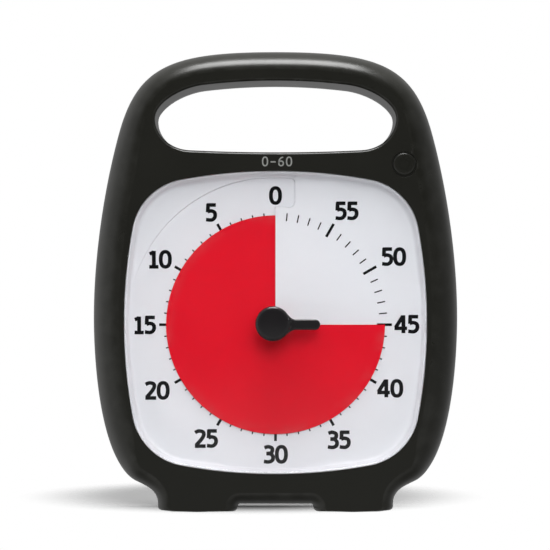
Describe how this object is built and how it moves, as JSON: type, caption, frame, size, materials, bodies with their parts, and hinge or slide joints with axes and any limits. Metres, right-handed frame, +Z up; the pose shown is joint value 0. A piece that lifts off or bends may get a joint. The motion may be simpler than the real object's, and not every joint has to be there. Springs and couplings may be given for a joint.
{
  "type": "visual countdown timer",
  "caption": "Free-standing sixty-minute visual countdown timer: a coloured disc winds out of sight behind a square dial as time passes, with a carrying handle, setting knob and push button.",
  "frame": {"origin": "centre of the bounding box's footprint, on the surface the feet stand on", "axes": "+X to the right seen from the front, +Y from front to back, +Z up"},
  "size_m": [0.1414, 0.05, 0.178],
  "materials": {
    "housing_plastic": "fine satin moulding",
    "clear_lens": "clear polished",
    "dial_white": "matt white",
    "disc_red": "matt red",
    "knob_black": "satin black",
    "black_plastic": "moulded",
    "case_plastic": "moulded",
    "gear_plastic": "moulded",
    "steel": "plain",
    "brass": "plain",
    "coil_wire": "enamelled winding",
    "circuit_board": "solder mask",
    "chip_black": "moulded",
    "cell_wrap": "shrink wrap",
    "lead_red": "insulated",
    "lead_blue": "insulated",
    "lead_yellow": "insulated",
    "lead_green": "insulated"
  },
  "bodies": {
    "housing": {"front_shell": "housing_plastic", "rear_shell": "housing_plastic", "lens": "clear_lens", "dial_face": "dial_white", "movement_carrier": "black_plastic", "carrier_screws": "steel", "movement_case_front": "case_plastic", "movement_case_rear": "case_plastic", "movement_screws": "steel", "stator": "steel", "coil": "coil_wire", "movement_board": "circuit_board", "quartz_crystal": "steel", "movement_terminals": "brass", "alarm_contact": "brass", "main_board": "circuit_board", "control_chip": "chip_black", "volume_potentiometer": "black_plastic", "buzzer_cup": "black_plastic", "piezo_disc": "brass", "switch_body": "black_plastic", "button_board": "circuit_board", "board_screws": "steel", "battery_cell": "cell_wrap", "battery_spring": "steel", "battery_contact": "steel", "case_screws": "steel", "battery_leads": "lead_red", "movement_leads": "lead_blue", "buzzer_leads": "lead_yellow", "button_leads": "lead_green"},
    "arbor": {"minute_arbor": "steel", "knob": "knob_black", "alarm_cam": "gear_plastic", "clutch_spring": "steel"},
    "disc": {"time_disc": "disc_red", "disc_hub": "disc_red"},
    "centre_gear": {"centre_wheel": "gear_plastic"},
    "third_gear": {"third_wheel": "gear_plastic"},
    "seconds_gear": {"seconds_wheel": "gear_plastic"},
    "intermediate_gear": {"intermediate_wheel": "gear_plastic"},
    "rotor_gear": {"rotor": "steel"},
    "volume": {"volume_dial": "black_plastic", "volume_shaft": "steel"},
    "button": {"power_button": "housing_plastic"},
    "plunger": {"switch_plunger": "black_plastic"},
    "door": {"battery_door": "housing_plastic"}
  },
  "joints": [
    {"name": "dial_turn", "type": "hinge", "parent": "housing", "child": "arbor", "pos_m": [0, -0.02, 0.072], "axis": [0, 1, 0], "range_deg": [-90, 270]},
    {"name": "disc_screw", "type": "slide", "parent": "arbor", "child": "disc", "axis": [0, 1, 0], "range_m": [-0.0004, 0.0012]},
    {"name": "rotor_spin", "type": "hinge", "parent": "housing", "child": "rotor_gear", "pos_m": [0.0191, 0.0075, 0.07449], "axis": [0, 1, 0], "continuous": true},
    {"name": "intermediate_spin", "type": "hinge", "parent": "housing", "child": "intermediate_gear", "pos_m": [0.01646, 0.0073, 0.07906], "axis": [0, 1, 0], "continuous": true},
    {"name": "seconds_spin", "type": "hinge", "parent": "housing", "child": "seconds_gear", "pos_m": [0.0112, 0.0055, 0.08098], "axis": [0, 1, 0], "continuous": true},
    {"name": "third_spin", "type": "hinge", "parent": "housing", "child": "third_gear", "pos_m": [0.0045, 0.0037, 0.07979], "axis": [0, 1, 0], "continuous": true},
    {"name": "centre_spin", "type": "hinge", "parent": "housing", "child": "centre_gear", "pos_m": [0, 0.0019, 0.072], "axis": [0, 1, 0], "continuous": true},
    {"name": "volume_turn", "type": "hinge", "parent": "housing", "child": "volume", "pos_m": [0.044, 0.024, 0.096], "axis": [0, 1, 0], "range_deg": [-135, 135]},
    {"name": "button_press", "type": "slide", "parent": "housing", "child": "button", "axis": [0, 1, 0], "range_m": [0, 0.0008], "stiffness_N_per_m": 400, "springref_m": -0.0006},
    {"name": "plunger_press", "type": "slide", "parent": "housing", "child": "plunger", "axis": [0, 1, 0], "range_m": [0, 0.0008]},
    {"name": "door_swing", "type": "hinge", "parent": "housing", "child": "door", "pos_m": [0, 0.0229, 0.0205], "axis": [-1, 0, 0], "range_deg": [0, 90]}
  ],
  "couplings": [
    {"joint": "disc_screw", "follows": "dial_turn", "m_per_rad": 0.00025465},
    {"joint": "plunger_press", "follows": "button_press", "ratio": 1},
    {"joint": "intermediate_spin", "follows": "rotor_spin", "ratio": -0.2},
    {"joint": "seconds_spin", "follows": "rotor_spin", "ratio": 0.033333},
    {"joint": "third_spin", "follows": "rotor_spin", "ratio": -0.0044444},
    {"joint": "centre_spin", "follows": "rotor_spin", "ratio": 0.00055556}
  ]
}
